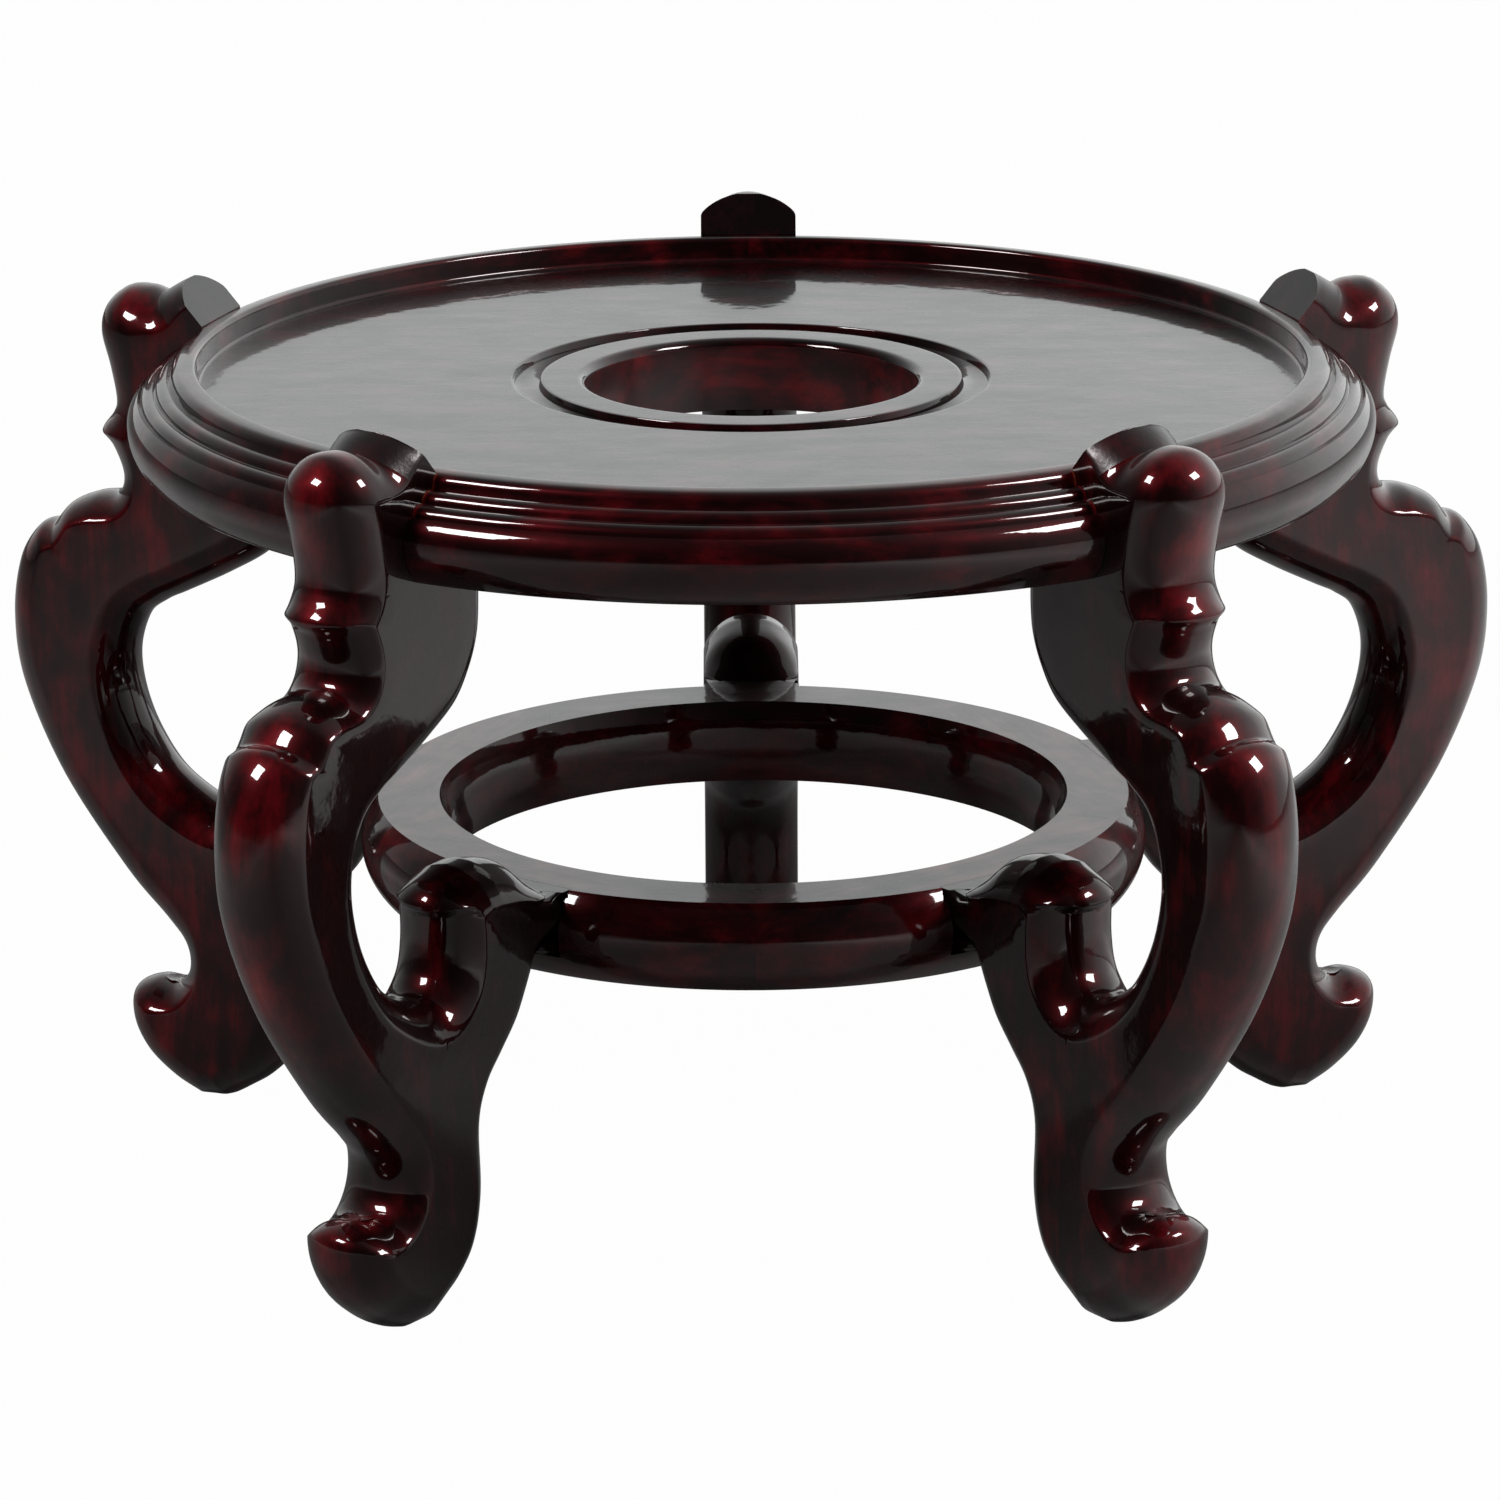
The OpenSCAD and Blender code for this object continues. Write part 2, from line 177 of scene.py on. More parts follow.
sole_edge = np.array([toe(-19, -SOLE_CUT), toe(-26.5, -SOLE_CUT, INNER)])
# Line down the middle of the foot, where its front and back strips meet
foot_core = [ring(42.5, -16.1), ring(42.4, -17.2), ring(42.1, -19.9), ring(41.5, -24.7),
             ring(40.3, -34), toe(-30.5, 45), toe(-31, 31), toe(-31, 25), toe(-30, 19.5),
             toe(-28.5, 14), toe(-27, 8.5), toe(-25, 3.5), toe(-22.8, -SOLE_CUT)]

nosed_edges = [ridge_edge, neck_edge, sweep_edge, sole_edge, hollow_edge, dome_edge, dome_top,
               dome_back, shin_edge]
piece_start = np.vstack([edge[:-1] for edge in nosed_edges])
piece_end = np.vstack([edge[1:] for edge in nosed_edges])
# Sharp inner corners, where two nosings meet in a carved crease: edge before, edge after
CREASES = ((neck_edge, sweep_edge), (hollow_edge, dome_edge))
CREASE_REACH = 25.0
# The crest where a nosing meets the flat side is eased over this far to each side
CREST_SOFT = 0.9
EASE_PLACES, EASE_WEIGHTS = np.polynomial.legendre.leggauss(5)


def nosing_height(d, n):
    """Half thickness left at a distance d from an edge whose nosing reaches n deep."""
    r = (HALF_T**2 + n**2) / (2 * n)
    spread = CREST_SOFT * np.clip((d / n - 0.3) / 0.4, 0, 1)
    total = 0.0
    for x, weight in zip(EASE_PLACES, EASE_WEIGHTS / 2):
        e = d + spread * x
        rounded = np.sqrt(np.maximum(0.0, e * (2 * r - e)))
        total = total + weight * np.where(e < n, rounded, HALF_T)
    return total


def crease_height(points, before, after):
    """Half thickness in the fan that opens behind a sharp corner, and which points lie in it."""
    from_corner = points - before[-1, :2]
    arrive = before[-1, :2] - before[-2, :2]
    leave = after[1, :2] - after[0, :2]
    arrive, leave = arrive / np.linalg.norm(arrive), leave / np.linalg.norm(leave)
    inside = ((from_corner @ arrive >= 0) & (from_corner @ leave <= 0)
              & (np.linalg.norm(from_corner, axis=1) < CREASE_REACH))
    d = np.max([np.abs(from_corner @ np.array([way[1], -way[0]])) for way in (arrive, leave)], 0)
    return nosing_height(d[inside], before[-1, 2]), inside


BATCH = 4000


def half_at(points):
    """Half thickness of the leg at each point of its plane."""
    flat = points.reshape(-1, 2)
    best = np.full(len(flat), HALF_T)
    along = piece_end[:, :2] - piece_start[:, :2]
    length_2 = (along**2).sum(1)
    for k in range(0, len(flat), BATCH):
        w = flat[k:k + BATCH, None] - piece_start[None, :, :2]
        t = np.clip((w * along).sum(2) / length_2, 0, 1)
        d = np.linalg.norm(w - t[..., None] * along, axis=2)
        n = piece_start[:, 2] + (piece_end[:, 2] - piece_start[:, 2]) * t
        best[k:k + BATCH] = nosing_height(d, n).min(1)
    for before, after in CREASES:
        height, inside = crease_height(flat, before, after)
        best[inside] = np.minimum(best[inside], height)
    return best.reshape(points.shape[:-1])


# Rows of the prong's slanted face and of its ridge, and columns of a rib: nosing, crest, flat side
FACE_ROWS = 14
RIDGE_ROWS = 2 * STEPS
NOSE_COLS = 12
CREST_COLS = 9
FLAT_COLS = 5
# A rib is probed at this many places to find where its nosings end
PROBES = 140
PROBE_SLACK = 0.02
LEAST_SHARE = 0.02
# Columns crowd towards the edge along an arc, up to this share of the nosing
NOSE_ARC = 1.25
NOSE_SHARE = 0.8


def eased(values):
    """Values averaged over five neighbours."""
    return np.convolve(np.pad(values, 2, "edge"), np.ones(5) / 5, "valid")


def ribs(a, b):
    """Points across the leg from each point of edge a to the one of edge b, with half thickness."""
    a, b = a[:, :2], b[:, :2]
    t = np.linspace(0, 1, PROBES)
    h = half_at(a[:, None] + (b - a)[:, None] * t[None, :, None])
    top = h >= np.minimum(HALF_T, h.max(1, keepdims=True)) - PROBE_SLACK
    first = eased(t[top.argmax(1)])
    last = eased(t[PROBES - 1 - top[:, ::-1].argmax(1)])
    first = np.clip(first, LEAST_SHARE, 1 - 2 * LEAST_SHARE)[:, None]
    last = np.clip(last[:, None], first + LEAST_SHARE, 1 - LEAST_SHARE)
    arc = 1 - np.cos(np.linspace(0, NOSE_ARC, NOSE_COLS))
    arc = np.concatenate([NOSE_SHARE * arc / arc[-1], np.linspace(NOSE_SHARE, 1, CREST_COLS)[1:]])
    flat = np.linspace(0, 1, FLAT_COLS + 2)[1:-1]
    s = np.concatenate([first * arc, first + (last - first) * flat, 1 - (1 - last) * arc[::-1]], 1)
    grid = a[:, None] + (b - a)[:, None] * s[..., None]
    return grid, half_at(grid)


# Where the limb ends on the sweep and on the hollow, and the spur on the shin
LIMB_SWEEP = 7 * STEPS
LIMB_HOLLOW = 13 * STEPS
SPUR_SHIN = 3 * STEPS


def leg_strips():
    """Ribs of the limb, the spur, the front of the foot and the back of the foot."""
    half = STEPS // 2
    fall = 1 - (np.arange(FACE_ROWS + 1) / FACE_ROWS) ** 1.4
    slant = np.stack([HOUSE_R + PRONG_LEAN * fall, RIM_TOP + PRONG_H * fall], 1)
    bearing_mid = RIM_TOP - 0.4 * (RIM_TOP - RIM_BOT)
    bearing = straight(
        [(HOUSE_R, RIM_TOP), (HOUSE_R, bearing_mid), (HOUSE_R, RIM_BOT), hollow_edge[0, :2]],
        (RIDGE_ROWS - FACE_ROWS, 7 * STEPS, STEPS))
    limb = ribs(
        np.vstack([ridge_edge, neck_edge[1:], sweep_edge[1:LIMB_SWEEP + 1]])[:, :2],
        np.vstack([slant, bearing[1:], hollow_edge[1:LIMB_HOLLOW + 1, :2]]))
    tongue = straight(
        [*shin_edge[SPUR_SHIN::-STEPS, :2], (TONGUE_R, TONGUE_Z), (TONGUE_R, RING_Z),
         dome_back[0, :2]], (half,) * 6)
    spur = ribs(np.vstack([tongue, dome_back[1:, :2]]),
                np.vstack([hollow_edge[LIMB_HOLLOW:, :2], dome_edge[1:, :2]]))
    core = straight([p[:2] for p in foot_core], (half,) * 6 + (STEPS,) * 6)
    foot_front = ribs(sweep_edge[LIMB_SWEEP:], core)
    foot_back = ribs(core, shin_edge[SPUR_SHIN:])
    return limb, spur, foot_front, foot_back


# Borders of each strip that get a wall: first column, last column, first row, last row
STRIP_WALLS = ((True, True, True, False), (True, True, False, True),
               (True, False, False, True), (False, True, False, True))
LIMB = 0
PRONG_SLOT = 1
PRONG_FACE_SLOT = 2


def finished(bm, name):
    """Mesh of that name from the bmesh, which is freed."""
    mesh = bpy.data.meshes.new(name)
    bm.to_mesh(mesh)
    bm.free()
    return mesh


def leg_mesh(name):
    """Carved leg on the +X side of the axis, with slots for its prong and the prong's face."""
    bm = bmesh.new()
    for strip, ((grid, h), walled) in enumerate(zip(leg_strips(), STRIP_WALLS)):
        rows, cols = h.shape
        up, down = ([[bm.verts.new((grid[i, j, 0] * MM, sign * h[i, j] * MM,
                                    max(0.0, grid[i, j, 1]) * MM))
                      for j in range(cols)] for i in range(rows)] for sign in (1, -1))
        for i in range(rows - 1):
            for j in range(cols - 1):
                pair = (bm.faces.new((up[i][j], up[i][j + 1], up[i + 1][j + 1], up[i + 1][j])),
                        bm.faces.new((down[i + 1][j], down[i + 1][j + 1], down[i][j + 1], down[i][j])))
                if strip == LIMB and i < RIDGE_ROWS and h[i:i + 2, j:j + 2].mean() < HALF_T - 0.1:
                    pair[0].material_index = pair[1].material_index = PRONG_SLOT
        borders = ([(i, 0) for i in range(rows)], [(i, cols - 1) for i in reversed(range(rows))],
                   [(0, j) for j in reversed(range(cols))], [(rows - 1, j) for j in range(cols)])
        for line in (border for border, wanted in zip(borders, walled) if wanted):
            for (i, j), (k, m) in zip(line, line[1:]):
                wall = bm.faces.new((up[i][j], up[k][m], down[k][m], down[i][j]))
                if strip == LIMB and j == m == cols - 1 and max(i, k) <= FACE_ROWS:
                    wall.material_index = PRONG_FACE_SLOT
    bmesh.ops.remove_doubles(bm, verts=bm.verts, dist=0.012 * MM)
    bmesh.ops.dissolve_degenerate(bm, edges=bm.edges, dist=0.005 * MM)
    bmesh.ops.recalc_face_normals(bm, faces=bm.faces)
    return finished(bm, name)


# Turned pieces

def arc_between(p, q, bulge, n):
    """Points of the circular arc from p to q that bulges to the left of the way."""
    p, q = np.array(p, float), np.array(q, float)
    chord = q - p
    length = np.linalg.norm(chord)
    r = (length**2 / 4 + bulge**2) / (2 * bulge)
    middle = (p + q) / 2 + np.array([-chord[1], chord[0]]) / length * (bulge - r)
    turn = 2 * math.asin(max(-1.0, min(1.0, length / 2 / r)))
    start = math.atan2(p[1] - middle[1], p[0] - middle[0])
    angles = start - turn * np.linspace(0, 1, n + 1)
    return [tuple(middle + abs(r) * np.array([math.cos(a), math.sin(a)])) for a in angles]


def turned(name, profile, start, end, steps, closed=False):
    """Mesh of a profile (radius, height) turned about the axis from one angle to another."""
    bm = bmesh.new()
    angles = [start + (end - start) * i / steps for i in range(steps if closed else steps + 1)]
    loops = [[bm.verts.new((r * math.cos(a) * MM, r * math.sin(a) * MM, z * MM))
              for r, z in profile] for a in angles]
    count = len(loops)
    for i in range(count if closed else count - 1):
        this, after = loops[i], loops[(i + 1) % count]
        for j in range(len(profile)):
            k = (j + 1) % len(profile)
            bm.faces.new((this[j], this[k], after[k], after[j]))
    if not closed:
        bm.faces.new(loops[0])
        bm.faces.new(loops[-1][::-1])
    bmesh.ops.recalc_face_normals(bm, faces=bm.faces)
    return finished(bm, name)


def rim_profile():
    """Section of the rim: shelf under the seat, lip, two small beads and a wide belly."""
    top, out, lip = RIM_TOP, RIM_R, SEAT_R
    shelf = [(SHELF_R, RIM_BOT), (SHELF_R, SHELF_Z), (lip, SHELF_Z), (lip, SEAT_Z)]
    foot = arc_between((lip - 1.0, SEAT_Z + 0.015), (lip, SEAT_Z + 1.1), -0.3, 8)
    lip_in = arc_between((lip, top - 1.2), (lip + 1.2, top), 0.35, 8)
    lip_top = arc_between((lip + 1.2, top), (lip + 4.2, top - 0.25), 0.1, 8)[1:]
    lip_out = arc_between((lip + 4.2, top - 0.25), (lip + 6.2, top - 2.6), 0.5, 14)[1:]
    lip_quirk = [(lip + 6.4, top - 3.3), (lip + 6.6, top - 3.85)]
    bead_in = arc_between((out - 10.1, top - 3.75), (out - 6.9, top - 5.9), 0.9, 16)
    bead_quirk = [(out - 6.8, top - 6.2)]
    bead_out = arc_between((out - 6.6, top - 6.3), (out - 3.3, top - 8.5), 0.9, 16)
    belly_quirk = [(out - 3.15, top - 8.85), (out - 2.9, top - 8.7)]
    belly_top = arc_between((out - 2.65, top - 8.55), (out, top - 14.3), 0.69, 16)
    belly = arc_between((out, top - 14.3), (out - 3.8, RIM_BOT + 0.6), 0.99, 16)[1:]
    return (shelf + foot + lip_in + lip_top + lip_out + lip_quirk + bead_in + bead_quirk + bead_out
            + belly_quirk + belly_top + belly + [(out - 4.6, RIM_BOT)])


def panel_profile():
    """Section of the seat board: hole with a rounded edge, turned groove, rabbet on the shelf."""
    top, deep = SEAT_Z, SEAT_Z - GROOVE_DEPTH
    near, far, edge = GROOVE_R - GROOVE_W, GROOVE_R, SEAT_R - GAP
    hole_edge = arc_between((HOLE_R, top - HOLE_ROUND), (HOLE_R + HOLE_ROUND, top), 0.703, 12)
    near_wall = [(HOLE_R + 3.2, top), (near - 0.9, top), (near - 0.3, top - 0.01), (near, top - 0.1),
                 (near + 0.15, top - 0.35)]
    groove_floor = arc_between((near + 0.5, deep + 0.5), (far - 0.6, deep + 0.5), -0.5, 14)
    far_wall = [(far - 0.2, top - 0.4), (far - 0.05, top - 0.12), (far + 0.2, top - 0.01),
                (far + 0.8, top), (far + 1.4, top)]
    rabbet = [(edge - 0.4, top), (edge, top), (edge, SHELF_Z), (SHELF_R - GAP, SHELF_Z),
              (SHELF_R - GAP, RIM_BOT)]
    return [(HOLE_R, RIM_BOT)] + hole_edge + near_wall + groove_floor + far_wall + rabbet


def ring_profile():
    """Section of the lower ring: flat above and below, rounded on both sides."""
    low = RING_Z - RING_H
    near, far = RING_R - RING_W + RING_INNER_BULGE, RING_R - RING_OUTER_BULGE
    return (arc_between((near, low), (near, RING_Z), RING_INNER_BULGE, 16)
            + arc_between((far, RING_Z), (far, low), RING_OUTER_BULGE, 28))


def box_mesh(name, low, high, turn):
    """Box from corner to corner, turned about the axis."""
    bm = bmesh.new()
    bmesh.ops.create_cube(bm, size=1.0)
    low, high = Vector(low) * MM, Vector(high) * MM
    bmesh.ops.scale(bm, vec=high - low, verts=bm.verts)
    bmesh.ops.translate(bm, vec=(low + high) / 2, verts=bm.verts)
    bmesh.ops.rotate(bm, cent=(0, 0, 0), matrix=Matrix.Rotation(turn, 3, "Z"), verts=bm.verts)
    return finished(bm, name)


def cut(mesh, cutters):
    """The mesh with the cutter meshes taken away."""
    scene = bpy.context.scene
    holder = bpy.data.objects.new("cut_holder", mesh)
    scene.collection.objects.link(holder)
    tools = []
    for cutter in cutters:
        tool = bpy.data.objects.new("cut_tool", cutter)
        scene.collection.objects.link(tool)
        modifier = holder.modifiers.new("cut", "BOOLEAN")
        modifier.operation, modifier.solver, modifier.object = "DIFFERENCE", "EXACT", tool
        tools.append(tool)
    depsgraph = bpy.context.evaluated_depsgraph_get()
    made = bpy.data.meshes.new_from_object(holder.evaluated_get(depsgraph))
    for item in [holder] + tools:
        data = item.data
        bpy.data.objects.remove(item)
        bpy.data.meshes.remove(data)
    return made


# Materials

class ShaderTree:
    """Node tree of a material or a world, emptied, with short ways to fill it."""

    def __init__(self, owner):
        owner.use_nodes = True
        self.tree = owner.node_tree
        self.tree.nodes.clear()

    def feed(self, socket, value):
        """Links an output to the input socket, or sets the socket to a constant."""
        if isinstance(value, bpy.types.NodeSocket):
            self.tree.links.new(value, socket)
        else:
            socket.default_value = value

    def add(self, kind, **values):
        """New node with its properties set and its inputs fed."""
        node = self.tree.nodes.new("ShaderNode" + kind)
        for key, value in values.items():
            if hasattr(node, key):
                setattr(node, key, value)
            else:
                self.feed(node.inputs[key], value)
        return node

    def reckon(self, kind, operation, *values):
        """Result of a Math or VectorMath node, with its inputs fed in order."""
        node = self.add(kind, operation=operation)
        for socket, value in zip(node.inputs, values):
            self.feed(socket, value)
        return node.outputs[0]

    def noise(self, at, scale, detail, roughness=0.5):
        return self.add("TexNoise", Vector=at, Scale=scale, Detail=detail, Roughness=roughness).outputs

    def attribute(self, name, output):
        return self.add("Attribute", attribute_name=name).outputs[output]

    def axes_of(self, output):
        """X, Y and Z of a texture coordinate."""
        coordinate = self.add("TexCoord").outputs[output]
        return self.add("SeparateXYZ", Vector=coordinate).outputs

    def mix(self, a, b, share):
        return self.add("Mix", data_type="FLOAT", Factor=share, A=a, B=b).outputs["Result"]

    def spread(self, value, low, high, to_low=0.0, to_high=1.0):
        """Value carried from the range low to high over to the range to_low to to_high."""
        return self.add("MapRange", **{
            "Value": value, "From Min": low, "From Max": high, "To Min": to_low,
            "To Max": to_high}).outputs["Result"]

    def ramp(self, value, stops):
        """Colour ramp over stops of place and colour, or of place and grey level."""
        node = self.add("ValToRGB", Fac=value)
        elements = node.color_ramp.elements
        while len(elements) < len(stops):
            elements.new(0.5)
        for element, (at, colour) in zip(elements, stops):
            element.position = at
            element.color = (*colour, 1) if isinstance(colour, tuple) else (colour, colour, colour, 1)
        return node.outputs["Color"]


# How far the grain of one piece may lie from that of another, and how far the streaks sway
GRAIN_SHIFT = (310.0, 170.0, 230.0)
SWAY_SCALE = 0.018
SWAY = (0.0, 9.0, 9.0)
# Streaks of the wood: changes to a millimetre along the grain and across it
BROAD_STREAK = (0.016, 0.16, 0.16)
FINE_STREAK = (0.035, 0.85, 0.85)
PORE_STREAK = (0.16, 3.6, 3.6)
BLOTCH = (0.070, 0.10, 0.10)
FINE_SHARE = 0.30
BLOTCH_SHARE = 0.50
PORE_TONES = ((0.62, 1.0), (0.72, 0.6))
# How far full wear and painted light move the colour up its ramp
WEAR_AND_LIGHT_REACH = 0.20
# Depth of the wood's relief and of the lacquer's, and the slow waves left by hand carving
WOOD_RELIEF = 0.03
LACQUER_RELIEF = 0.05
CARVED_SCALE = 0.055
CARVED_SHARE = 4.0
# The lacquer lets mostly red light back from the wood under it
UNDER_GLOSS_TINT = (1.0, 0.04, 0.07, 1)


def wood_tones(warm):
    """Stops from black wood through crimson to orange."""
    return ((0.42, (0.0006, 0.0002, 0.0003)), (0.50, (0.003 * warm, 0.0003, 0.0004)),
            (0.58, (0.020 * warm, 0.0006, 0.0012)), (0.70, (0.075 * warm, 0.0020, 0.0038)),
            (0.84, (0.170 * warm, 0.0050, 0.0080)), (0.96, (0.360 * warm, 0.0800, 0.0300)))


def own_grain(tree):
    """Place in the wood, shifted so that no two pieces come from the same spot of it."""
    chance = tree.add("ObjectInfo").outputs["Random"]
    shift = tree.reckon("VectorMath", "MULTIPLY", chance, GRAIN_SHIFT)
    return tree.reckon("VectorMath", "ADD", tree.attribute("grain", "Vector"), shift)


def wood_streaks(tree, spot):
    """Figure of the wood, its fine grain and its pores."""
    sway = tree.noise(spot, SWAY_SCALE, 2.0)["Color"]
    swayed = tree.reckon("VectorMath", "MULTIPLY_ADD", sway, SWAY, spot)

    def streak(scale, detail, roughness=0.55):
        stretched = tree.reckon("VectorMath", "MULTIPLY", swayed, scale)
        return tree.noise(stretched, 1.0, detail, roughness)["Fac"]

    fine = streak(FINE_STREAK, 4.0, 0.6)
    grain = tree.mix(streak(BROAD_STREAK, 4.0), fine, FINE_SHARE)
    figure = tree.mix(grain, streak(BLOTCH, 3.0), BLOTCH_SHARE)
    return figure, fine, streak(PORE_STREAK, 1.0)


def lacquered_wood(name, rough, warm=1.0, coat_rough=0.05, glow=0.22, peel_scale=0.22,
                   peel_strength=0.6):
    """Dark red hardwood under clear gloss lacquer; its grain runs along the first grain axis."""
    material = bpy.data.materials.new(name)
    tree = ShaderTree(material)
    spot = own_grain(tree)
    figure, fine, pore = wood_streaks(tree, spot)

    # Real wear, and on the legs also painted light and sheen, move the colour up towards red
    wear_and_light = tree.attribute("wear_and_light", "Fac")
    redness = tree.reckon("Math", "MULTIPLY_ADD", wear_and_light, WEAR_AND_LIGHT_REACH, figure)
    pores = tree.ramp(pore, PORE_TONES)
    colour = tree.add("Mix", data_type="RGBA", blend_type="MULTIPLY", Factor=1.0,
                      A=tree.ramp(redness, wood_tones(warm)), B=pores)

    carved = tree.noise(spot, CARVED_SCALE, 1.0)["Fac"]
    peel = tree.noise(spot, peel_scale, 2.0)["Fac"]
    surface = tree.reckon("Math", "MULTIPLY_ADD", carved, CARVED_SHARE, peel)
    coat_bump = tree.add("Bump", Strength=peel_strength, Distance=LACQUER_RELIEF * MM, Height=surface)
    relief = tree.reckon("Math", "MULTIPLY_ADD", fine, 0.35, pores)
    wood_bump = tree.add("Bump", Strength=0.25, Distance=WOOD_RELIEF * MM, Height=relief,
                         Normal=coat_bump.outputs[0])

    shader = tree.add("BsdfPrincipled", **{
        "Base Color": colour.outputs["Result"],
        "Roughness": tree.spread(figure, 0.3, 0.7, rough + 0.12, rough - 0.08),
        "Normal": wood_bump.outputs[0],
        "IOR": 1.45,
        "Specular IOR Level": glow,
        "Specular Tint": UNDER_GLOSS_TINT,
        "Coat Weight": 1.0,
        "Coat Roughness": coat_rough,
        "Coat IOR": 1.5,
        "Coat Normal": coat_bump.outputs[0]})
    tree.add("OutputMaterial", Surface=shader.outputs[0])
    return material


def bare_wood(name):
    """Unfinished hardwood of the hidden dowels and splines."""
    material = bpy.data.materials.new(name)
    tree = ShaderTree(material)
    spot = tree.add("TexCoord").outputs["Object"]
    stretched = tree.reckon("VectorMath", "MULTIPLY", spot, (900.0, 900.0, 60.0))
    grain = tree.noise(stretched, 1.0, 5.0)["Fac"]
    bump = tree.add("Bump", Strength=0.4, Distance=0.05 * MM, Height=grain)
    shader = tree.add("BsdfPrincipled", **{
        "Base Color": tree.ramp(grain, ((0.35, (0.20, 0.11, 0.06)), (0.65, (0.38, 0.24, 0.14)))),
        "Roughness": 0.7,
        "Normal": bump.outputs[0]})
    tree.add("OutputMaterial", Surface=shader.outputs[0])
    return material


def vertex_places(mesh):
    """Places of the mesh's vertices, in millimetres."""
    co = np.empty(len(mesh.vertices) * 3)
    mesh.vertices.foreach_get("co", co)
    return co.reshape(-1, 3) / MM


def set_grain(mesh, grain, wear_and_light):
    """Gives each vertex its place in the wood and its wear and painted light, which redden it."""
    places = mesh.attributes.new("grain", "FLOAT_VECTOR", "POINT")
    places.data.foreach_set("vector", np.ascontiguousarray(grain, dtype=np.float32).ravel())
    wear = mesh.attributes.new("wear_and_light", "FLOAT", "POINT")
    wear.data.foreach_set("value", np.ascontiguousarray(wear_and_light, dtype=np.float32))


def put_piece(name, mesh, materials, node, turn=0.0):
    """Sets the mesh on the axis, turned to its place, as the piece that stands for a node."""
    mesh.transform(Matrix.Translation(AXIS) @ Matrix.Rotation(turn, 4, "Z"))
    mesh.polygons.foreach_set("use_smooth", [True] * len(mesh.polygons))
    mesh.set_sharp_from_angle(angle=math.radians(SHARP_ANGLE))
    # Clearing the materials resets the faces' slots, so they are kept and set again
    slots = np.zeros(len(mesh.polygons), dtype=np.int32)
    mesh.polygons.foreach_get("material_index", slots)
    mesh.materials.clear()
    for material in materials:
        mesh.materials.append(material)
    mesh.polygons.foreach_set("material_index", np.minimum(slots, len(materials) - 1))
    piece = bpy.data.objects.new(name, mesh)
    bpy.context.scene.collection.objects.link(piece)
    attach(piece, "root")
    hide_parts(node)


# Pieces

# Places of the leg that stand out, reddened as rubbed wear and as painted sheen under the lamps: point
# of the outline and reach
RUBBED_AND_LIT = ((crest(10, 0), 11), (crest(15, -13), 12), (under(15, -5), 6), (shoulder(-13, 21), 9),
          (shoulder(-3, 5), 14), (shoulder(-9, -32), 22), (toe(-4, 20), 10))
# Painted light and shade per leg, with wear on the nosings: how red its flat sides and its nosings are
# made. The side legs' flats come out lighter and the front-left flat darker; the front legs' nosings
# are reddest, the back leg's least.
FLAT_PAINTED_LIGHT = {"back": 0.0, "left": 0.35, "front_left": -0.25, "front_right": 0.0, "right": 0.35}
NOSE_WEAR_AND_LIGHT = {"back": 0.5, "left": 0.6, "front_left": 1.15, "front_right": 1.0, "right": 0.7}
NOSE_LEAST = 0.10
RIM_WORN = 0.2
RIM_JOINT_ORANGE = 2.0
RIM_JOINT_DEPTH = 9.0
SEAT_WORN = 0.15
HOLE_WORN = 0.5
RING_WORN = 0.4


def build_legs():
    """One carved mesh, turned to five places, with its grain upright and its own wear and painted
    light each time.
    """
    finishes = (
        lacquered_wood("leg_lacquer", rough=0.36),
        lacquered_wood("prong_lacquer", rough=0.45, warm=0.4, coat_rough=0.30, glow=0.10,
                       peel_scale=1.1, peel_strength=0.8),
        lacquered_wood("prong_face_lacquer", rough=0.4, warm=0.25, coat_rough=0.10, glow=0.04,
                       peel_scale=1.1, peel_strength=0.4))
    leg = leg_mesh("carved_leg")
    co = vertex_places(leg)
    grain = np.stack([co[:, 2], co[:, 0], co[:, 1]], 1)
    # Red patches at the high places: partly rubbed wear, partly painted sheen where the lamps' glow
    # falls
    rubbed_and_lit = np.max([np.exp(-((co[:, 0] - at[0])**2 + (co[:, 2] - at[1])**2) / reach**2)
                     for at, reach in RUBBED_AND_LIT], 0)
    nose = 1 - np.abs(co[:, 1]) / HALF_T
    for name, turn in zip(LEGS, LEG_TURN):
        mesh = leg.copy()
        # Painted light and shade: the flats are redder or darker by how each leg is lit, the nosings
        # carry wear and painted sheen
        wear_and_light = FLAT_PAINTED_LIGHT[name] * (1 - nose) + nose * (NOSE_LEAST + NOSE_WEAR_AND_LIGHT[name] * rubbed_and_lit)
        set_grain(mesh, grain, wear_and_light)
        put_piece(f"carved_leg_{name}", mesh, finishes, f"leg_{name}", turn)


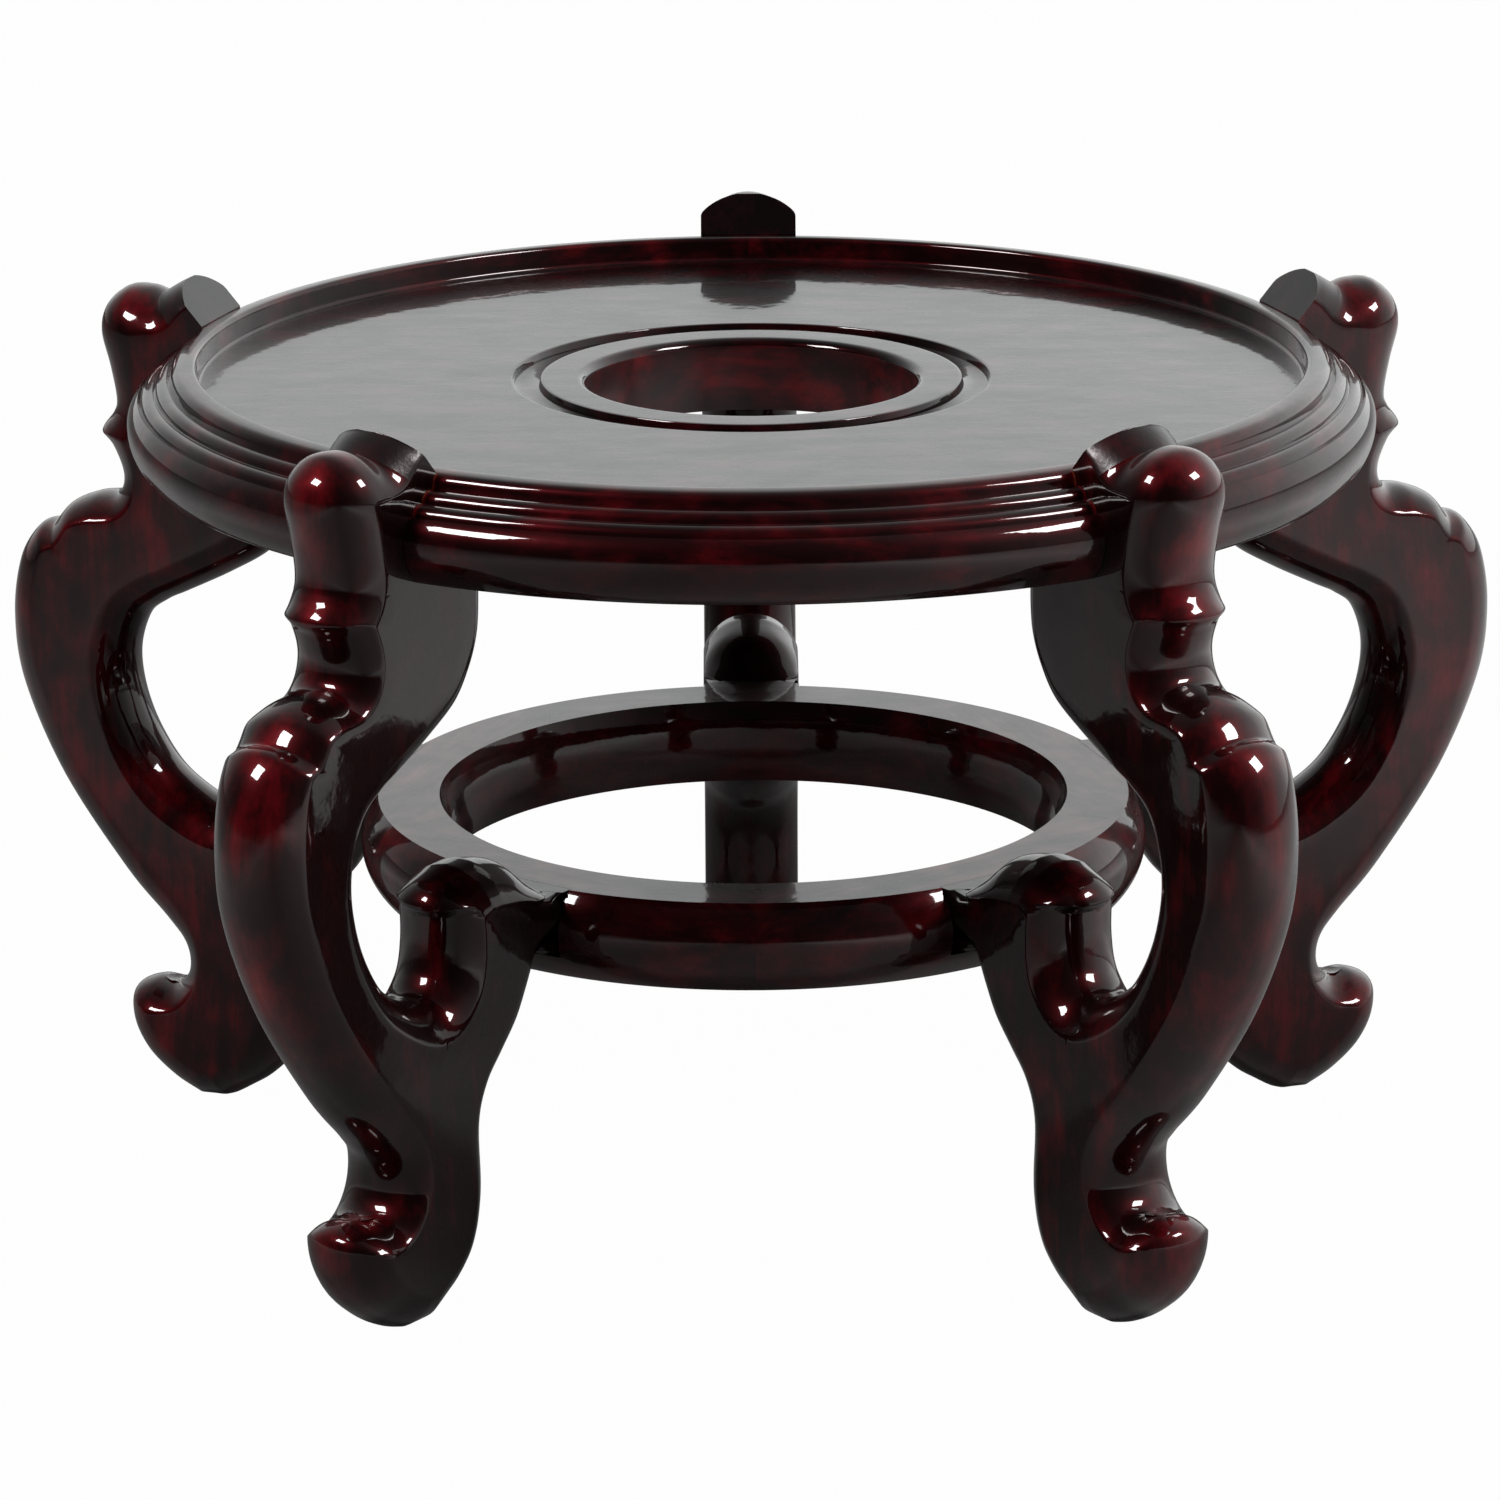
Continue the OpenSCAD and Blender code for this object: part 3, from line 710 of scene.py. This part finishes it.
def build_rim():
    """Five lengths that meet behind the legs, each housed round two legs, with an orange line at the
    joints.
    """
    finish = lacquered_wood("rim_lacquer", rough=0.36, warm=0.9)
    ends = (0.0, math.radians(LEG_STEP))
    middle = math.radians(LEG_STEP / 2)
    half_joint = JOINT_GAP / 2 / SEAT_R
    for name, turn in zip(SPANS, LEG_TURN):
        mesh = turned(f"rim_{name}", rim_profile(), half_joint, ends[1] - half_joint, RIM_STEPS)
        mesh = cut(mesh, [box_mesh("housing", (HOUSE_R - GAP, -HALF_T - GAP, RIM_BOT - CUT_PAST),
                                   (RIM_R + CUT_PAST, HALF_T + GAP, RIM_TOP + CUT_PAST), a)
                          for a in ends])
        co = vertex_places(mesh)
        along = -co[:, 0] * math.sin(middle) + co[:, 1] * math.cos(middle)
        out = co[:, 0] * math.cos(middle) + co[:, 1] * math.sin(middle)
        to_leg = np.min([np.abs(co[:, 1] * math.cos(a) - co[:, 0] * math.sin(a)) for a in ends], 0)
        # An orange line along the ends next to the legs, near the top
        joint = ((np.abs(to_leg - HALF_T - GAP) < 0.3)
                 & (np.hypot(co[:, 0], co[:, 1]) > HOUSE_R - 0.3)
                 & (co[:, 2] > RIM_TOP - RIM_JOINT_DEPTH))
        set_grain(mesh, np.stack([along, out, co[:, 2]], 1), np.where(joint, RIM_JOINT_ORANGE, RIM_WORN))
        put_piece(f"moulded_rim_{name}", mesh, (finish,), f"rim_{name}", turn)


def build_seat():
    """Turned seat board, with a duller finish on the wall of its hole."""
    finishes = (lacquered_wood("seat_lacquer", rough=0.26, warm=0.6, glow=0.10),
                lacquered_wood("hole_lacquer", rough=0.5, coat_rough=0.30, glow=0.2, peel_scale=0.6))
    mesh = turned("seat_board", panel_profile(), 0, 2 * math.pi, SEAT_STEPS, closed=True)
    co = vertex_places(mesh)
    in_hole = np.hypot(co[:, 0], co[:, 1]) < HOLE_R + 0.1
    set_grain(mesh, co, np.where(in_hole, HOLE_WORN, SEAT_WORN))
    for face in mesh.polygons:
        face.material_index = int(all(in_hole[v] for v in face.vertices))
    put_piece("seat_board", mesh, finishes, "seat_panel")


def build_ring():
    """Five lengths of the lower ring, each let in for one spur."""
    finish = lacquered_wood("ring_lacquer", rough=0.36, warm=0.9)
    half = math.radians(LEG_STEP / 2) - JOINT_GAP / 2 / RING_R
    for name, turn in zip(LEGS, LEG_TURN):
        mesh = turned(f"ring_{name}", ring_profile(), -half, half, RING_STEPS)
        mesh = cut(mesh, [box_mesh("socket", (TONGUE_R - GAP, -HALF_T - GAP, TONGUE_Z - GAP),
                                   (RING_R + CUT_PAST, HALF_T + GAP, RING_Z + CUT_PAST), 0.0)])
        co = vertex_places(mesh)
        set_grain(mesh, np.stack([co[:, 1], co[:, 0], co[:, 2]], 1), np.full(len(co), RING_WORN))
        put_piece(f"lower_ring_{name}", mesh, (finish,), f"ring_{name}", turn)


def dress_joinery():
    """Dowels and splines stay the frame's own solids, in bare wood."""
    hidden_wood = bare_wood("bare_joint_wood")
    for name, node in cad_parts.items():
        if "dowel" in name or "spline" in name:
            node.data.materials.clear()
            node.data.materials.append(hidden_wood)


# Floor, light and camera

# Painted light on the floor, as the lacquer mirrors it: its tone from left to right, darkest on the
# left and brightest on the right, over this many metres to each side
FLOOR_REACH = 0.9
FLOOR_PAINTED_LIGHT = ((0.0, 0.12), (0.15, 0.18), (0.28, 0.32), (0.45, 0.15), (0.60, 0.30), (0.73, 0.75),
               (0.88, 0.60), (1.0, 0.60))
# How much of the floor is plain white to the camera and in a reflection
FLOOR_WHITE_SEEN = 0.985
FLOOR_WHITE_MIRRORED = 0.03
# The studio's brightness from front left to back right, and from the horizon up
STUDIO_LEAN = 0.7
STUDIO_REACH = 1.2
STUDIO_ROUND = ((0.10, 0.02), (0.37, 0.09), (0.62, 0.36), (0.75, 0.68), (0.85, 0.84),
                (0.917, 0.87), (0.98, 1.20))
STUDIO_UPWARD = ((0.0, 1.0), (0.45, 1.0), (0.60, 0.78), (0.79, 0.63), (0.97, 0.6))
STUDIO_FILL = 0.14
STUDIO_COLOUR = (0.97, 1, 1, 1)
# Softboxes: degrees round from straight behind the stand, degrees up, metres away
SOFTBOXES = {"left": -119, "right": 112}
SOFTBOX_UP = 43
SOFTBOX_AWAY = 2.2
SOFTBOX_SIZE = (0.62, 0.50)
SOFTBOX_POWER = 32
SOFTBOX_AIM = Vector((0, 0, 0.12))
# Camera of the photograph: its place from the axis, its turns in degrees and its lens
CAMERA_PLACE = Vector((-6.4, -1465.0, 537.4))
CAMERA_TILT = 16.52
CAMERA_PAN = 0.22
CAMERA_ROLL = -0.29
FOCAL_PX = 6192.1
PHOTO_PX = 1500.0
SENSOR = 36.0


def build_floor():
    """Pale floor: white to the camera, less so in the lacquer, where it carries painted light from
    dark on the left to bright on the right, with the shadow left faint.
    """
    bpy.ops.mesh.primitive_plane_add(size=12.0, location=(0, 0, 0))
    floor = bpy.context.object
    floor.name = "floor"
    material = bpy.data.materials.new("pale_floor")
    tree = ShaderTree(material)
    ray = tree.add("LightPath").outputs
    across = tree.spread(tree.axes_of("Object")["X"], -FLOOR_REACH, FLOOR_REACH)
    # Painted light: the floor's diffuse tone, seen mainly in reflections, is graded from dark on the
    # left to bright on the right
    diffuse = tree.add("BsdfDiffuse", Color=tree.ramp(across, FLOOR_PAINTED_LIGHT))
    white = tree.add("Emission", Color=(1, 1, 1, 1), Strength=1.0)
    mirrored = tree.reckon("Math", "MAXIMUM", ray["Is Glossy Ray"], ray["Is Transmission Ray"])
    mirrored_share = tree.reckon("Math", "MULTIPLY", mirrored, FLOOR_WHITE_MIRRORED)
    share = tree.reckon("Math", "MULTIPLY_ADD", ray["Is Camera Ray"], FLOOR_WHITE_SEEN, mirrored_share)
    both = tree.add("MixShader", Fac=share)
    tree.feed(both.inputs[1], diffuse.outputs[0])
    tree.feed(both.inputs[2], white.outputs[0])
    tree.add("OutputMaterial", Surface=both.outputs[0])
    floor.data.materials.append(material)


def build_world():
    """White studio: bright behind and to the right, dark in front, fading overhead."""
    world = bpy.data.worlds.new("studio")
    bpy.context.scene.world = world
    tree = ShaderTree(world)
    ray = tree.add("LightPath").outputs
    way = tree.axes_of("Generated")
    facing = tree.reckon("Math", "MULTIPLY_ADD", way["X"], STUDIO_LEAN, way["Y"])
    round_about = tree.ramp(tree.spread(facing, -STUDIO_REACH, STUDIO_REACH), STUDIO_ROUND)
    level = tree.reckon("Math", "MULTIPLY", round_about, tree.ramp(way["Z"], STUDIO_UPWARD))
    lit = tree.mix(level, STUDIO_FILL, ray["Is Diffuse Ray"])
    seen = tree.mix(lit, 1.0, ray["Is Camera Ray"])
    light = tree.add("Background", Color=STUDIO_COLOUR, Strength=seen)
    tree.add("OutputWorld", Surface=light.outputs[0])


def build_softboxes():
    """Two lamps at the photograph's places, left and right of the stand and a little before it."""
    up = math.radians(SOFTBOX_UP)
    for side, azimuth in SOFTBOXES.items():
        a = math.radians(azimuth)
        way = Vector((math.sin(a) * math.cos(up), math.cos(a) * math.cos(up), math.sin(up)))
        data = bpy.data.lights.new(f"softbox_{side}", "AREA")
        data.shape = "RECTANGLE"
        data.size, data.size_y = SOFTBOX_SIZE
        data.energy = SOFTBOX_POWER
        lamp = bpy.data.objects.new(f"softbox_{side}", data)
        lamp.location = SOFTBOX_AIM + way * SOFTBOX_AWAY
        lamp.rotation_euler = (-way).to_track_quat("-Z", "Y").to_euler()
        bpy.context.scene.collection.objects.link(lamp)


def build_camera():
    """Camera of the photograph."""
    tilt, pan, roll = (math.radians(a) for a in (CAMERA_TILT, CAMERA_PAN, CAMERA_ROLL))
    data = bpy.data.cameras.new("camera")
    data.sensor_width = SENSOR
    data.lens = SENSOR * FOCAL_PX / PHOTO_PX
    data.clip_start, data.clip_end = 0.05, 50
    camera = bpy.data.objects.new("camera", data)
    ahead = Vector((math.sin(pan), math.cos(pan), 0))
    right = Vector((math.cos(pan), -math.sin(pan), 0))
    upright = Vector((0, 0, 1))
    view = math.cos(tilt) * ahead - math.sin(tilt) * upright
    up = math.sin(tilt) * ahead + math.cos(tilt) * upright
    side = math.cos(roll) * right + math.sin(roll) * up
    top = math.cos(roll) * up - math.sin(roll) * right
    turn = Matrix((side, top, -view)).transposed()
    camera.matrix_world = Matrix.Translation(AXIS + CAMERA_PLACE * MM) @ turn.to_4x4()
    bpy.context.scene.collection.objects.link(camera)
    bpy.context.scene.camera = camera


build_legs()
build_rim()
build_seat()
build_ring()
dress_joinery()
build_floor()
build_world()
build_softboxes()
build_camera()
bpy.context.scene.view_settings.view_transform = "Standard"
